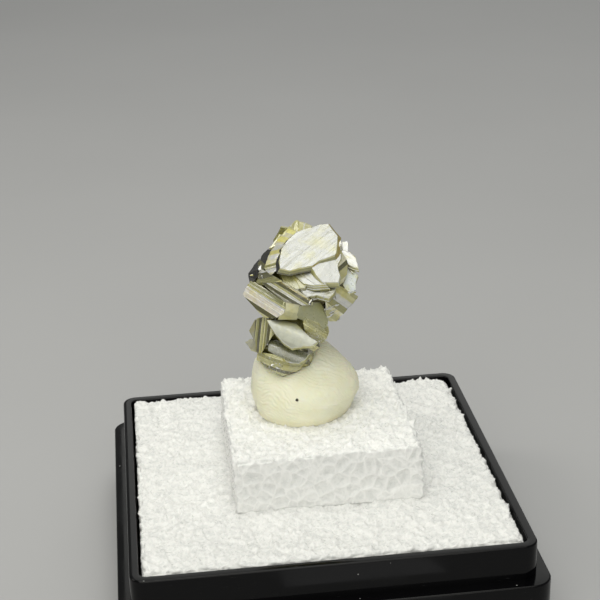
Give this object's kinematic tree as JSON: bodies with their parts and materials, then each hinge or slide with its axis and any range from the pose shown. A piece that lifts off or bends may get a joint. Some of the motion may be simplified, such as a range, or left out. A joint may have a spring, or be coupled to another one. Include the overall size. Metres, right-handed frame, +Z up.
{
  "type": "mineral specimen on foam in a display box base",
  "caption": "Cluster of platy, striated olive crystals set in a dab of putty on a foam pedestal, in the square black base of a thumbnail display box.",
  "frame": {"origin": "middle of the flat underside of the box base", "axes": "+Z up out of the base; -Y towards the side the specimen's best face looks at; +X to that viewer's right"},
  "size_m": [0.0318, 0.0318, 0.0281],
  "materials": {
    "black_polystyrene": "glossy injection-moulded black polystyrene, lightly scratched and dusty",
    "white_foam": "white polystyrene foam of cells about 0.7 mm across, granular and slightly sparkling where it is cut",
    "cream_putty": "soft cream mounting putty with fingerprint ridges, satin and slightly oily",
    "olive_crystal": "translucent olive to lemon-yellow crystal with bright silvery, adamantine to pearly faces and fine growth lines"
  },
  "bodies": {
    "root": {"base_tray": "black_polystyrene", "foam_liner": "white_foam", "foam_pedestal": "white_foam", "mounting_putty": "cream_putty", "crystal_cluster": "olive_crystal"}
  },
  "joints": []
}
